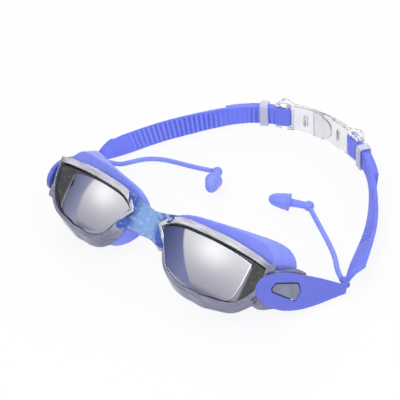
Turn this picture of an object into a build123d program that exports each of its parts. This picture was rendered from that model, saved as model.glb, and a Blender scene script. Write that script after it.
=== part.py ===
"""Swim goggles with a split headband, back clip and tethered ear plugs.

The goggles lie on a table as they are put down: the eye cups lean back on the
lower edges of their gaskets with the lenses facing up and forward, and the
headband stands on its edge behind them.  Millimetres, +Z up, +X to the wearer's
left, -Y the way the goggles face.  The origin is on the table, under the middle.
"""

import os
from math import cos, pi, radians, sin, sqrt, tan

from build123d import *

# ---- driving dimensions --------------------------------------------------
# Pose of the eye cups
mid_y = 73.05  # from the nose tips back to the middle of the whole part
nose_height = 36.15  # nose tips of the rims above the table
face_pitch = 39.8  # the face of the goggles leans back this far
nose_gap = 21.8  # between the nose tips of the two rims
face_wrap = 7.4  # each rim turns outwards this far
lens_lean = 8.0  # the lens leans back inside its rim
lens_wrap = 4.2  # and turns outwards inside it
lens_setback = 0.6  # depth of the lens face behind the rim at the nose

# Lens opening of one eye, measured from the nose tip
opening_width = 66.6
opening_rise = 8.6
opening_drop = 23.4
temple_rise = 5.2
temple_drop = 14.0

# Rim
rim_depth = 7.7
rim_nose = 2.4
rim_brow = 4.4
rim_temple = 3.0
rim_cheek = 2.2
rim_flare = 3.8  # the cheek wall spreads this far towards the face

# Lens
lens_clearance = 0.1
lens_thickness = 1.2
window_raise = 0.9
window_margin = 0.7
brow_channel = 1.7  # open channel between the window and the brow of the rim
fold_at = 58.5  # the front window ends here and the side panel begins
window_bow = 0.8
panel_rise = 5.0

# Gasket
gasket_wall = 1.9
gasket_flange = 1.6
gasket_margin = 1.0  # the flange stops this far outside the lens opening
gasket_reach = 30.0
face_tilt = 8.2  # the cheek side reaches further back than the brow

# Nose bridge
bridge_rise = 5.4
bridge_drop = 10.2
bridge_thickness = 5.0
bridge_dip = 1.9
horn_reach = 17.6
upper_horn_rise = 9.4
lower_horn_drop = 12.4

# Temple arm and strap leaf
leaf_tip = (78.5, 0.4, 25.3)  # from below the nose tips, at table height
leaf_neck = (97.5, 51.3, 2.6)
arm_thickness = 3.2
arm_length = 31.0
arm_height = 19.6
leaf_thickness = 2.2
leaf_gap = 0.4
leaf_height = 21.2
peg_clearance = 0.6
peg_proud = 0.5

# Strap
strap_width = 12.4
strap_thickness = 2.2
neck_width = 4.6
strap_lean = 28.0
fold_radius = 2.45
layer_gap = 0.4
tail_length = 0.3  # share of the band that the tail doubles back over
rib_pitch = 2.9
rib_width = 1.1
rib_height = 0.45
rib_margin = 0.9
rib_start = 0.3
rib_end = 0.86

# Back clip
clip_height = 19.0
clip_thickness = 3.2
clip_reach = 33.5
clip_crown = 4.5  # the clip bows back this far between the two folds
end_bar_depth = 4.2  # the end bar passes this far outside the middle of the clip
end_bar_width = 3.0
bar_clearance = 0.1
lap_half = 7.5
lap_gap = 0.1
slot_clearance = 0.35

# Keeper
keeper_wall = 1.0
keeper_length = 5.4
keeper_clearance = 0.55
keeper_share = 0.89  # where the keeper sits along the band

# Ear plugs on their tethers
table_gap = 0.1
tether_radius = 1.5
tether_stub = 1.9  # radius of the stub on the strap that the tether grows from
tether_gap = 0.3
stub_reach = 3.4  # the stub ends this far from the middle of the strap
stub_height = 2.3  # its middle above the table where it leaves the strap
plug_radius = 5.3
plug_length = 11.6
stem_radius = 2.6
stem_length = 12.4
knob_radius = 3.2

strap_lift = (clip_height - strap_width) / 2  # the clip lifts the end of the strap
clip_rail = strap_lift - slot_clearance

os.makedirs("parts", exist_ok=True)


# ---- planes --------------------------------------------------------------
face = Plane(
    origin=(0, -mid_y, nose_height),
    x_dir=(1, 0, 0),
    z_dir=(0, -cos(radians(face_pitch)), sin(radians(face_pitch))),
)
rim = Plane(face.location * Location((nose_gap / 2, 0, 0), (0, face_wrap, 0)))
lens_face = Plane(rim.location * Location((0, 0, -lens_setback), (-lens_lean, lens_wrap, 0)))
cheek_line = Plane(rim.location * Location((0, 0, 0), (face_tilt - 90, 0, 0)))

tip = Vector(leaf_tip) - Vector(0, mid_y, 0)
neck = Vector(leaf_neck) - Vector(0, mid_y, 0)
leaf_axis = (neck - tip).normalized()
arm_normal = leaf_axis.cross(face.y_dir).normalized()
arm = Plane(origin=tip, x_dir=leaf_axis, z_dir=arm_normal)
leaf_length = (neck - tip).length


def eye_outline(nose, brow, temple, cheek):
    """Closed outline round one eye: the lens opening, grown on each of its four sides."""
    start = (1.0 - nose, 0.2)
    top_outer = (1.0 + opening_width + temple, temple_rise + 0.55 * brow)
    with BuildLine() as outline:
        Spline(
            start,
            (8.0 - 0.5 * nose, 0.7 * opening_rise + 0.9 * brow),
            (0.33 * opening_width, 0.97 * opening_rise + brow),
            (0.77 * opening_width, 0.93 * opening_rise + brow),
            top_outer,
        )
        Spline(
            top_outer,
            (opening_width + 0.4 + temple, -0.35 * temple_drop),
            (opening_width - 3.4 + 0.8 * temple, -0.9 * temple_drop - 0.5 * cheek),
            (0.82 * opening_width, -0.78 * opening_drop - 0.9 * cheek),
            (0.66 * opening_width, -0.87 * opening_drop - cheek),
            (0.42 * opening_width, -opening_drop - cheek),
            (0.19 * opening_width - 0.5 * nose, -0.75 * opening_drop - 0.8 * cheek),
            (0.12 * opening_width - 0.8 * nose, -0.4 * opening_drop - 0.4 * cheek),
            start,
        )
    return outline


opening = eye_outline(0, 0, 0, 0)
rim_front = eye_outline(rim_nose, rim_brow, rim_temple, rim_cheek)
rim_back = eye_outline(rim_nose, rim_brow, rim_temple, rim_cheek + rim_flare)

# ---- nose bridge ---------------------------------------------------------
with BuildPart() as nose_bridge:
    with BuildSketch(face.offset(bridge_thickness)):
        with BuildLine():
            Spline(
                (0, bridge_rise),
                (0.6 * nose_gap, 0.86 * upper_horn_rise),
                (horn_reach, upper_horn_rise),
            )
            Line((horn_reach, upper_horn_rise), (horn_reach - 1.2, 6.6))
            Spline((horn_reach - 1.2, 6.6), (12.2, 2.2), (10.0, 0), (11.6, -3.0), (horn_reach - 1.4, -lower_horn_drop))
            Spline((horn_reach - 1.4, -lower_horn_drop), (10.0, -0.98 * bridge_drop), (0, -bridge_drop))
            Line((0, -bridge_drop), (0, bridge_rise))
        make_face()
        mirror(about=Plane.YZ)
    extrude(amount=-3 * bridge_thickness)
    with BuildSketch(Plane(face.origin, x_dir=(1, 0, 0), z_dir=face.y_dir)):
        with BuildLine():
            ThreePointArc((-horn_reach - 1, -0.2), (0, bridge_dip), (horn_reach + 1, -0.2))
            Line((horn_reach + 1, -0.2), (horn_reach + 1, bridge_thickness))
            ThreePointArc(
                (horn_reach + 1, bridge_thickness),
                (0, bridge_thickness + bridge_dip),
                (-horn_reach - 1, bridge_thickness),
            )
            Line((-horn_reach - 1, bridge_thickness), (-horn_reach - 1, -0.2))
        make_face()
    extrude(amount=30, both=True, mode=Mode.INTERSECT)
nose_bridge.part.label = "nose_bridge"

# ---- lens ----------------------------------------------------------------
section = Plane(lens_face.origin, x_dir=lens_face.x_dir, z_dir=lens_face.y_dir)


def lens_sheet(front, back):
    """Folded section of the lens: a bowed front window and a side panel that rises to the rim."""
    panel_end = opening_width + 4
    with BuildLine() as outline:
        ThreePointArc((-4, -front), (fold_at / 2, -front - window_bow), (fold_at, -front))
        Line((fold_at, -front), (panel_end, -front - panel_rise))
        Line((panel_end, -front - panel_rise), (panel_end, back - panel_rise))
        Line((panel_end, back - panel_rise), (fold_at, back))
        ThreePointArc((fold_at, back), (fold_at / 2, back - window_bow), (-4, back))
        Line((-4, back), (-4, -front))
    return outline


lens_outline = eye_outline(-lens_clearance, -lens_clearance, -lens_clearance, -lens_clearance)
window_outline = eye_outline(-window_margin, -brow_channel, -window_margin, -window_margin)

with BuildPart() as lens_window:
    with BuildSketch(section):
        make_face(lens_sheet(window_raise, lens_thickness).edges())
    extrude(amount=40, both=True)
    with BuildSketch(rim.offset(20)):
        make_face(window_outline.edges())
    extrude(amount=-50, mode=Mode.INTERSECT)

with BuildPart() as left_lens:
    with BuildSketch(section):
        make_face(lens_sheet(0, lens_thickness).edges())
    extrude(amount=40, both=True)
    with BuildSketch(rim.offset(20)):
        make_face(lens_outline.edges())
    extrude(amount=-50, mode=Mode.INTERSECT)
    add(lens_window.part)
left_lens.part.label = "left_lens"

# ---- rim with its temple arm ---------------------------------------------
with BuildPart() as left_rim:
    with BuildSketch(rim):
        make_face(rim_front.edges())
    with BuildSketch(rim.offset(-rim_depth)):
        make_face(rim_back.edges())
    loft(ruled=True)
    with BuildSketch(rim.offset(5)):
        make_face(opening.edges())
    extrude(amount=-20, mode=Mode.SUBTRACT)
    with BuildSketch(arm):
        Rectangle(120, 120)
    extrude(amount=40, mode=Mode.SUBTRACT)
    with BuildSketch(arm):
        with BuildLine():
            FilletPolyline(
                (1.0, -0.46 * arm_height),
                (7.5, 0.46 * arm_height),
                (0.78 * arm_length, 0.5 * arm_height),
                (arm_length, 0.36 * arm_height),
                (arm_length, 0),
                (0.6 * arm_length, -0.5 * arm_height),
                radius=2.5,
                close=True,
            )
        make_face()
    extrude(amount=-arm_thickness)
    add(nose_bridge.part, mode=Mode.SUBTRACT)
left_rim.part.label = "left_rim"

# ---- strap peg on the arm ------------------------------------------------
peg_points = ((8.0, 2.6), (10.6, 5.4), (25.0, 5.2), (27.8, 0.6), (25.6, -5.8), (8.4, 0.2))

with BuildPart() as left_peg:
    with BuildSketch(arm) as peg_face:
        with BuildLine():
            FilletPolyline(*peg_points, radius=1.3, close=True)
        make_face()
        offset(amount=-peg_clearance, mode=Mode.REPLACE)
    extrude(amount=leaf_gap + leaf_thickness + peg_proud)
    chamfer(left_peg.faces().sort_by(Axis(arm.origin, arm.z_dir))[-1].edges(), 0.4)
left_peg.part.label = "left_peg"

# ---- gasket --------------------------------------------------------------
# Round one eye from the nose over the brow to the temple and back along the cheek.
gasket_front = (
    (-0.6, -3.6),
    (1.0, 6.0),
    (8.6, 11.0),
    (20.8, 13.6),
    (36.0, 15.4),
    (52.0, 16.0),
    (63.0, 13.6),
    (67.4, 6.0),
    (67.8, -2.0),
    (63.6, -14.0),
    (50.0, -22.6),
    (30.0, -26.6),
    (14.0, -22.2),
    (4.6, -11.6),
)
gasket_back = (
    (-6.8, -5.6),
    (0.6, 7.4),
    (9.0, 11.6),
    (21.0, 16.0),
    (36.0, 20.0),
    (54.0, 22.0),
    (70.0, 19.0),
    (76.6, 8.0),
    (76.8, -1.0),
    (69.6, -16.0),
    (52.0, -25.0),
    (30.0, -30.2),
    (10.0, -27.4),
    (-5.6, -19.0),
)


def ring(points):
    """Smooth closed curve through the points."""
    with BuildLine() as curve:
        Spline(*points, periodic=True)
    return curve


def inset(points, amount):
    """The same ring of points moved inwards by the wall of the gasket."""
    moved = []
    for index, point in enumerate(points):
        ahead = Vector(points[(index + 1) % len(points)]) - Vector(points[index - 1])
        inward = Vector(ahead.Y, -ahead.X).normalized() * amount
        moved.append((point[0] + inward.X, point[1] + inward.Y))
    return moved


with BuildPart() as left_gasket:
    with BuildSketch(rim.offset(-rim_depth)):
        make_face(ring(gasket_front).edges())
    with BuildSketch(rim.offset(-rim_depth - gasket_reach)):
        make_face(ring(gasket_back).edges())
    loft(ruled=True)
    with BuildSketch(rim.offset(-rim_depth)):
        make_face(ring(inset(gasket_front, gasket_wall)).edges())
    with BuildSketch(rim.offset(-rim_depth - gasket_reach)):
        make_face(ring(inset(gasket_back, gasket_wall)).edges())
    loft(ruled=True, mode=Mode.SUBTRACT)
    with BuildSketch(cheek_line):
        with BuildLine():
            Spline((-12, 16.5), (8, 13.2), (30, 12.6), (52, 18.2), (84, 31))
            Polyline((84, 31), (84, 60), (-12, 60), (-12, 16.5))
        make_face()
    extrude(amount=60, both=True, mode=Mode.SUBTRACT)
    with BuildSketch(rim.offset(-rim_depth)):
        make_face(ring(gasket_front).edges())
        make_face(
            eye_outline(gasket_margin, gasket_margin, gasket_margin, gasket_margin).edges(),
            mode=Mode.SUBTRACT,
        )
    extrude(amount=-gasket_flange)
left_gasket.part.label = "left_gasket"

# ---- headband route ------------------------------------------------------
# The lower edge of the strap, from the neck of the leaf to the fold in the clip.
fold_x = 25.5
fold_y = 151.5 - mid_y
with BuildLine() as strap_route:
    Spline(
        (96.6, 53.6 - mid_y),
        (89.1, 67.1 - mid_y),
        (79.2, 92.4 - mid_y),
        (66.0, 117.7 - mid_y),
        (42.6, 144.0 - mid_y),
        (fold_x, fold_y),
    )
route = strap_route.edges()[0]


def smooth(value, low, high):
    """Rise smoothly from 0 at low to 1 at high."""
    share = min(max((value - low) / (high - low), 0), 1)
    return share * share * (3 - 2 * share)


def strap_frame(share, outwards=0.0):
    """Centre, outward direction and upward direction of the band at a share of its route."""
    point = route @ share
    ahead = route % share
    side = Vector(ahead.Y, -ahead.X, 0)
    lean = radians(strap_lean * (1 - smooth(share, 0.45, 0.85)))
    up = Vector(0, 0, cos(lean)) + side * sin(lean)
    out = side * cos(lean) - Vector(0, 0, sin(lean))
    foot = point + Vector(0, 0, strap_lift * smooth(share, 0.1, 0.95) + strap_thickness / 2 * sin(lean))
    width = neck_width + (strap_width - neck_width) * smooth(share, -0.02, 0.13)
    return foot + up * (width / 2) + out * outwards, out, up, width


def band_plane(share, outwards=0.0, turned=1):
    """Cross-section plane of the band, its x axis outwards and its y axis up."""
    centre, out, up, width = strap_frame(share, outwards)
    return Plane(origin=centre, x_dir=out * turned, z_dir=(out * turned).cross(up)), width


leaf_middle = leaf_gap + leaf_thickness / 2
neck_centre = neck + arm_normal * leaf_middle
neck_plane = Plane(origin=neck_centre - leaf_axis * 3, x_dir=arm_normal, z_dir=leaf_axis)

main_steps = 16
fold_steps = 5
tail_steps = 6
first_share = 0.03
fold_centre, fold_out, fold_up, _ = strap_frame(1.0, fold_radius)
fold_ahead = fold_up.cross(fold_out)

with BuildPart() as left_strap:
    with BuildSketch(neck_plane):
        Rectangle(strap_thickness, neck_width)
    for step in range(main_steps):
        plane, width = band_plane(first_share + (1 - first_share) * step / (main_steps - 1))
        with BuildSketch(plane):
            Rectangle(strap_thickness, width)
    for step in range(1, fold_steps):
        turn = radians(180 * step / fold_steps)
        outward = fold_out * -cos(turn) + fold_ahead * sin(turn)
        bend = Plane(fold_centre + outward * fold_radius, x_dir=-outward, z_dir=fold_up.cross(outward))
        with BuildSketch(bend):
            Rectangle(strap_thickness, strap_width)
    for step in range(tail_steps):
        share = 1 - tail_length * step / (tail_steps - 1)
        outwards = strap_thickness + layer_gap
        outwards += (2 * fold_radius - outwards) * smooth(share, 0.93, 1)
        plane, width = band_plane(share, outwards, turned=-1)
        with BuildSketch(plane):
            Rectangle(strap_thickness, width)
    loft(ruled=True)
    with BuildSketch(arm.offset(leaf_gap)):
        with BuildLine():
            Spline(
                (-1.2, 1.8),
                (1.0, 7.2),
                (0.16 * leaf_length, 0.49 * leaf_height),
                (0.42 * leaf_length, 0.45 * leaf_height),
                (0.7 * leaf_length, 0.31 * leaf_height),
                (leaf_length, neck_width / 2),
            )
            Line((leaf_length, neck_width / 2), (leaf_length, -neck_width / 2))
            Spline(
                (leaf_length, -neck_width / 2),
                (0.84 * leaf_length, -0.25 * leaf_height),
                (0.52 * leaf_length, -0.49 * leaf_height),
                (0.2 * leaf_length, -0.44 * leaf_height),
                (1.6, -3.6),
                (-1.2, 1.8),
            )
        make_face()
        with BuildLine():
            FilletPolyline(*peg_points, radius=1.6, close=True)
        make_face(mode=Mode.SUBTRACT)
    extrude(amount=leaf_thickness)
    rib_count = int((rib_end - rib_start) * route.length / rib_pitch)
    for rib in range(rib_count):
        share = rib_start + (rib_end - rib_start) * rib / (rib_count - 1)
        plane, width = band_plane(share, -strap_thickness / 2 + 0.1, turned=-1)
        with BuildSketch(Plane(origin=plane.origin, x_dir=plane.y_dir, z_dir=plane.x_dir)):
            Rectangle(width - 2 * rib_margin, rib_width)
    extrude(amount=rib_height + 0.1)
left_strap.part.label = "left_strap"

# ---- keeper --------------------------------------------------------------
keeper_in = strap_thickness / 2 + rib_height + keeper_clearance / 2
keeper_out = 1.5 * strap_thickness + layer_gap + keeper_clearance
keeper_plane, _ = band_plane(keeper_share, (keeper_out - keeper_in) / 2)
keeper_inside = (keeper_in + keeper_out, strap_width + 2 * keeper_clearance)

with BuildPart() as left_keeper:
    with BuildSketch(keeper_plane):
        RectangleRounded(
            keeper_inside[0] + 2 * keeper_wall, keeper_inside[1] + 2 * keeper_wall, keeper_wall + 0.5
        )
        RectangleRounded(*keeper_inside, 0.5, mode=Mode.SUBTRACT)
    extrude(amount=keeper_length / 2, both=True)
left_keeper.part.label = "left_keeper"

# ---- back clip -----------------------------------------------------------
clip_radius = (fold_centre.X**2 + clip_crown**2) / (2 * clip_crown)
clip_centre_y = fold_centre.Y + clip_crown - clip_radius
clip_front = Plane.XZ.offset(-clip_centre_y - clip_radius)
half_wall = clip_thickness / 2
window_from = fold_centre.X - fold_radius - strap_thickness / 2 - slot_clearance
bar_radius = fold_radius - strap_thickness / 2 - bar_clearance


def clip_point(across, depth):
    """Point of the clip in plan, this far across and this far outside its middle arc."""
    return (across, clip_centre_y + sqrt((clip_radius + depth) ** 2 - across**2))


def arc_band(low_depth, high_depth, low_x, high_x):
    """Sketch face between two depths of the clip and between two x values."""
    middle = (low_x + high_x) / 2
    with BuildSketch() as band:
        with BuildLine():
            ThreePointArc(
                clip_point(low_x, low_depth), clip_point(middle, low_depth), clip_point(high_x, low_depth)
            )
            Line(clip_point(high_x, low_depth), clip_point(high_x, high_depth))
            ThreePointArc(
                clip_point(high_x, high_depth), clip_point(middle, high_depth), clip_point(low_x, high_depth)
            )
            Line(clip_point(low_x, high_depth), clip_point(low_x, low_depth))
        make_face()
    return band.sketch


def clip_half(lap_low, lap_high, tongue):
    """One half of the back clip, made on the +X side."""
    with BuildPart() as half:
        with BuildSketch() as plan:
            with BuildLine():
                ThreePointArc(
                    clip_point(lap_half, -half_wall),
                    clip_point(0.6 * clip_reach, -half_wall),
                    clip_point(clip_reach - 1.2, -half_wall),
                )
                Spline(
                    clip_point(clip_reach - 1.2, -half_wall),
                    clip_point(clip_reach, 1.6),
                    clip_point(clip_reach - 0.4, end_bar_depth + 1.0),
                    clip_point(clip_reach - 2.4, end_bar_depth + 1.8),
                    clip_point(fold_centre.X, 3.9),
                    clip_point(window_from - 2, half_wall),
                )
                ThreePointArc(
                    clip_point(window_from - 2, half_wall),
                    clip_point(0.5 * (window_from - 2 + lap_half), half_wall),
                    clip_point(lap_half, half_wall),
                )
                Line(clip_point(lap_half, half_wall), clip_point(lap_half, -half_wall))
            make_face()
        extrude(amount=clip_height)
        with BuildSketch(clip_front):
            with Locations((0, clip_height / 2)):
                RectangleRounded(2 * clip_reach, clip_height, 4.2)
        extrude(amount=40, both=True, mode=Mode.INTERSECT)
        with BuildSketch(Plane.XY.offset(clip_rail)):
            add(arc_band(-half_wall - 2, end_bar_depth, window_from, clip_reach + 1))
            add(arc_band(-half_wall - 2, end_bar_depth + 4, window_from, clip_reach - end_bar_width))
        extrude(amount=clip_height - 2 * clip_rail, mode=Mode.SUBTRACT)
        with BuildSketch(Plane.XY.offset(clip_rail / 2)):
            with Locations((fold_centre.X, fold_centre.Y)):
                Circle(bar_radius)
        extrude(amount=clip_height - clip_rail)
        with BuildSketch(Plane.XY.offset(0.28 * clip_height)):
            add(arc_band(-half_wall - 1, half_wall + 1, lap_half + 4.6, lap_half + 6.4))
        extrude(amount=0.44 * clip_height, mode=Mode.SUBTRACT)
        with BuildSketch():
            add(arc_band(lap_low, lap_high, -lap_half, lap_half))
        extrude(amount=clip_height)
    if not tongue:
        return half.part
    with BuildPart() as trimmed:
        add(half.part)
        with BuildSketch(clip_front):
            with Locations((clip_reach, clip_height / 2)):
                Rectangle(2 * clip_reach, clip_height)
            with Locations((0, clip_height / 2)):
                Ellipse(lap_half, 0.4 * clip_height)
        extrude(amount=40, both=True, mode=Mode.INTERSECT)
    return trimmed.part


left_clip = Part() + clip_half(lap_gap / 2, half_wall, tongue=False)
left_clip.label = "left_clip"
right_clip = Part() + mirror(clip_half(-half_wall, -lap_gap / 2, tongue=True), about=Plane.YZ)
right_clip.label = "right_clip"

# ---- ear plugs and tethers -----------------------------------------------
# Each tether leaves the neck of its strap, lies along the table and ends at the
# knob on the stem of its ear plug.
plugs = {
    "left": ((27.5, 89.2 - mid_y), (-0.84, -0.54)),
    "right": ((-21.0, 77.9 - mid_y), (0.52, -0.85)),
}
table_line = tether_radius + table_gap
waypoints = {
    "left": ((84.5, 60.6), (76.5, 68.2), (66.0, 76.8), (51.5, 86.4)),
    "right": ((-83.0, 57.4), (-78.0, 66.0), (-73.2, 74.0), (-64.6, 80.0), (-54.0, 83.0), (-42.5, 84.9)),
}


def cord_radii(points):
    """Largest tangent arc at each corner that its two runs allow."""
    radii = []
    for before, corner, after in zip(points, points[1:], points[2:]):
        arriving = corner - before
        leaving = after - corner
        turn = radians(arriving.get_angle(leaving))
        radii.append(0.45 * min(arriving.length, leaving.length) / tan(turn / 2))
    return radii


def knob_place(base, heading):
    """Centre of the knob that ends the stem of an ear plug lying on the table."""
    level = Vector(*heading, 0).normalized()
    return Vector(*base, knob_radius + table_gap) - level * stem_length


def ear_plug(base, heading):
    """A soft bell on a stem that ends in a knob, lying on its rim and on the knob."""
    base_centre = Vector(*base, plug_radius + 2 * table_gap)
    knob_centre = knob_place(base, heading)
    stem_axis = (base_centre - knob_centre).normalized()
    with BuildPart() as plug:
        with BuildSketch(Plane(base_centre, x_dir=stem_axis, z_dir=stem_axis.cross(Vector(0, 0, 1)))):
            with BuildLine():
                Polyline(
                    (0.6, plug_radius),
                    (-1.2, plug_radius),
                    (0, stem_radius),
                    (-stem_length, 0.8 * stem_radius),
                    (-stem_length, 0),
                    (plug_length, 0),
                )
                Spline(
                    (plug_length, 0),
                    (0.85 * plug_length, 0.52 * plug_radius),
                    (0.35 * plug_length, 0.78 * plug_radius),
                    (0.6, plug_radius),
                    tangents=((0, 1), (-1, 0.9)),
                )
            make_face()
        revolve(axis=Axis(base_centre, stem_axis))
        with Locations(knob_centre):
            Sphere(knob_radius)
    return plug.part


# The stub on the strap points along the first run of the tether.
neck_middle, neck_out, _, _ = strap_frame(0.0)
stubs = {}
for side, turned in (("left", 1), ("right", -1)):
    stub_from = Vector(turned * neck_middle.X, neck_middle.Y, stub_height)
    outwards = Vector(turned * neck_out.X, neck_out.Y, 0).normalized()
    toward = Vector(waypoints[side][0][0], waypoints[side][0][1] - mid_y, table_line) - stub_from
    toward = toward.normalized()
    stubs[side] = (stub_from, toward, stub_reach / -toward.dot(outwards))

for side, (base, heading) in plugs.items():
    plug_part = ear_plug(base, heading)
    plug_part.label = f"{side}_ear_plug"
    export_step(plug_part, f"parts/{side}_ear_plug.step")
    stub_from, toward, stub_length = stubs[side]
    points = [stub_from + toward * (stub_length + tether_gap)]
    points += [Vector(x, y - mid_y, table_line) for x, y in waypoints[side]]
    knob_centre = knob_place(base, heading)
    points.append(knob_centre + (points[-1] - knob_centre).normalized() * knob_radius)
    radii = cord_radii(points)
    print(f"{side} tether bend radii", [round(radius, 1) for radius in radii])
    print(f"{side} tether points", [(round(q.X, 2), round(q.Y, 2), round(q.Z, 2)) for q in points])
    with BuildPart() as tether:
        with BuildLine() as tether_path:
            FilletPolyline(*points, radius=radii)
        path = tether_path.wires()[0]
        with BuildSketch(Plane(path @ 0, z_dir=path % 0)):
            Circle(tether_radius)
        sweep()
    tether.part.label = f"{side}_tether"
    export_step(tether.part, f"parts/{side}_tether.step")
    filled = tether.part.volume / (path.length * pi * tether_radius**2)
    print(f"{side} tether length {path.length:.1f}, volume over section times length {filled:.4f}")

# ---- straps, each with the stub of its tether ----------------------------
for side in ("left", "right"):
    stub_from, toward, stub_length = stubs[side]
    with BuildPart() as strap:
        add(left_strap.part if side == "left" else mirror(left_strap.part, about=Plane.YZ))
        with BuildSketch(Plane(stub_from, z_dir=toward)):
            Circle(tether_stub)
        extrude(amount=stub_length)
    strap.part.label = f"{side}_strap"
    export_step(strap.part, f"parts/{side}_strap.step")

# ---- export --------------------------------------------------------------
export_step(nose_bridge.part, "parts/nose_bridge.step")
export_step(left_clip, "parts/left_clip.step")
export_step(right_clip, "parts/right_clip.step")
for name, piece in (
    ("lens", left_lens),
    ("rim", left_rim),
    ("peg", left_peg),
    ("gasket", left_gasket),
    ("keeper", left_keeper),
):
    export_step(piece.part, f"parts/left_{name}.step")
    twin = mirror(piece.part, about=Plane.YZ)
    twin.label = f"right_{name}"
    export_step(twin, f"parts/right_{name}.step")
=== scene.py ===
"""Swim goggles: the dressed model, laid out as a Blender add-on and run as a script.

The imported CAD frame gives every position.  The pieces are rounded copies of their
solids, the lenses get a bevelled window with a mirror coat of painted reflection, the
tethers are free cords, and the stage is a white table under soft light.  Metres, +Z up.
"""

import math
from functools import partial

import bmesh
import bpy
import numpy as np
from mathutils import Matrix, Vector


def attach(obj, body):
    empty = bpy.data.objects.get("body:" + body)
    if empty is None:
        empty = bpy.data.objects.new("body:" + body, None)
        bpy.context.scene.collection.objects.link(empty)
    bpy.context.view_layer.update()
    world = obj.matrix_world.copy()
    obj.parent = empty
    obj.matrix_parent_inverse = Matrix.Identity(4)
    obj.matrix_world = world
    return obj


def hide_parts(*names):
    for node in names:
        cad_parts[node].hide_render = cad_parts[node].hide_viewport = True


bl_info = {
    "name": "Swim goggles",
    "version": (1, 0, 0),
    "blender": (4, 5, 0),
    "location": "View3D > Sidebar > Goggles",
    "description": "Builds swim goggles with a headband, back clip and ear plugs",
    "category": "Add Mesh",
}

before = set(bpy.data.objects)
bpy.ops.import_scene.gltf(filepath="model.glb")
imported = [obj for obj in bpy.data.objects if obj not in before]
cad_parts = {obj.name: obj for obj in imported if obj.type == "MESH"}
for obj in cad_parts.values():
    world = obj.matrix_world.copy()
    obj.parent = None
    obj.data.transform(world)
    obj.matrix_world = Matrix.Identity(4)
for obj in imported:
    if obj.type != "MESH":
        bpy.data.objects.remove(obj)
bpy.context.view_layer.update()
SIDES = ("left", "right")


# ---- sizes and colours a user would change -----------------------------------
def length_value(name, description, default):
    return bpy.props.FloatProperty(
        name=name, description=description, default=default, unit="LENGTH"
    )


def colour_value(name, description, default):
    return bpy.props.FloatVectorProperty(
        name=name, description=description, default=default, size=3, subtype="COLOR"
    )


class GogglesSizes(bpy.types.PropertyGroup):
    """Mesh sizes of the rounded pieces, and sizes of the tethers and ear plugs."""

    gasket_grain: length_value("Gasket grain", "Mesh size of the gaskets", 0.0005)
    strap_grain: length_value("Strap grain", "Mesh size of the straps", 0.00036)
    bridge_grain: length_value("Bridge grain", "Mesh size of the nose bridge", 0.00035)
    plastic_grain: length_value("Plastic grain", "Mesh size of rims, lenses and clip", 0.0004)
    small_grain: length_value("Small grain", "Mesh size of the keepers and pegs", 0.0003)
    tether_diameter: length_value("Tether diameter", "Diameter of the tethers", 0.003)
    plug_radius: length_value("Plug radius", "Radius of the ear plug bell", 0.0053)
    plug_length: length_value("Plug length", "Length of the ear plug bell", 0.0116)
    stem_radius: length_value("Stem radius", "Radius of the ear plug stem", 0.0026)


class GogglesColours(bpy.types.PropertyGroup):
    """Colours of the goggles."""

    gasket: colour_value("Gasket", "Silicone of the gaskets", (0.235, 0.285, 0.93))
    strap: colour_value("Strap", "Silicone of the headband", (0.165, 0.205, 0.86))
    plug: colour_value("Ear plug", "Silicone of the ear plugs", (0.25, 0.31, 0.93))
    bridge: colour_value("Bridge", "Middle of the nose bridge", (0.30, 0.52, 0.95))
    bridge_end: colour_value("Bridge ends", "Ends of the nose bridge", (0.045, 0.13, 0.62))
    # The bridge glint colour is a painted highlight.
    bridge_painted_glint: colour_value("Bridge glint", "Gleams in the bridge", (0.72, 0.84, 0.96))
    # The rim colour is the silver tint with a painted highlight on the brow and the nose.
    rim: colour_value("Rim", "Silver of the rims' brow and nose", (0.86, 0.87, 0.95))
    rim_shade: colour_value("Rim shade", "Smoky cheek of the rims", (0.31, 0.32, 0.44))
    clip: colour_value("Clip", "Clear plastic of the clip", (0.95, 0.95, 0.99))
    keeper: colour_value("Keeper", "Tinted plastic of the keepers", (0.78, 0.80, 1.0))
    peg: colour_value("Peg", "Plastic of the strap pegs", (0.19, 0.20, 0.29))
    # The mirror colour is the painted highlight of the mirror coat.
    mirror: colour_value("Mirror", "Brightest mirror coat", (0.95, 0.95, 0.96))
    # The border colour is painted shade of the groove round the window.
    border: colour_value("Border", "Dull border of the window", (0.13, 0.13, 0.18))
    smoke: colour_value("Smoke", "Dark lens beyond the window", (0.012, 0.012, 0.016))


def sizes():
    return bpy.context.scene.goggles_sizes


def colours():
    return bpy.context.scene.goggles_colours


# ---- where the rims and the lenses stand --------------------------------------
NOSE = (0, -0.07305, 0.03615)  # between the nose tips of the two rims
NOSE_HALF_GAP = 0.0109
FACE_TURN = 50.2  # degrees that the face of the goggles is turned up
FACE_WRAP = 7.4  # degrees that each rim turns outwards
RIM_DEPTH = 0.0077
OPENING = 0.0666  # width of the lens opening
FOLD = 0.0585  # where the front window folds back into the side panel
LENS_WRAP = 4.2  # degrees that the lens turns outwards in its rim
LENS_MADE = (0.0006, 8.0)  # setback and lean of the lens in the CAD frame
LENS_SHOWN = (0.0014, 5.5)  # setback and lean that it is moved to


def rim_frame(side):
    """Frame of a rim: origin at the nose tip, x outwards, y up the face, z to the front."""
    nose = Matrix.Translation(NOSE) @ Matrix.Rotation(math.radians(FACE_TURN), 4, "X")
    wrap = Matrix.Rotation(math.radians(FACE_WRAP), 4, "Y")
    rim = nose @ Matrix.Translation((NOSE_HALF_GAP, 0, 0)) @ wrap
    return Matrix.Diagonal((-1, 1, 1, 1)) @ rim if side == "right" else rim


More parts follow.
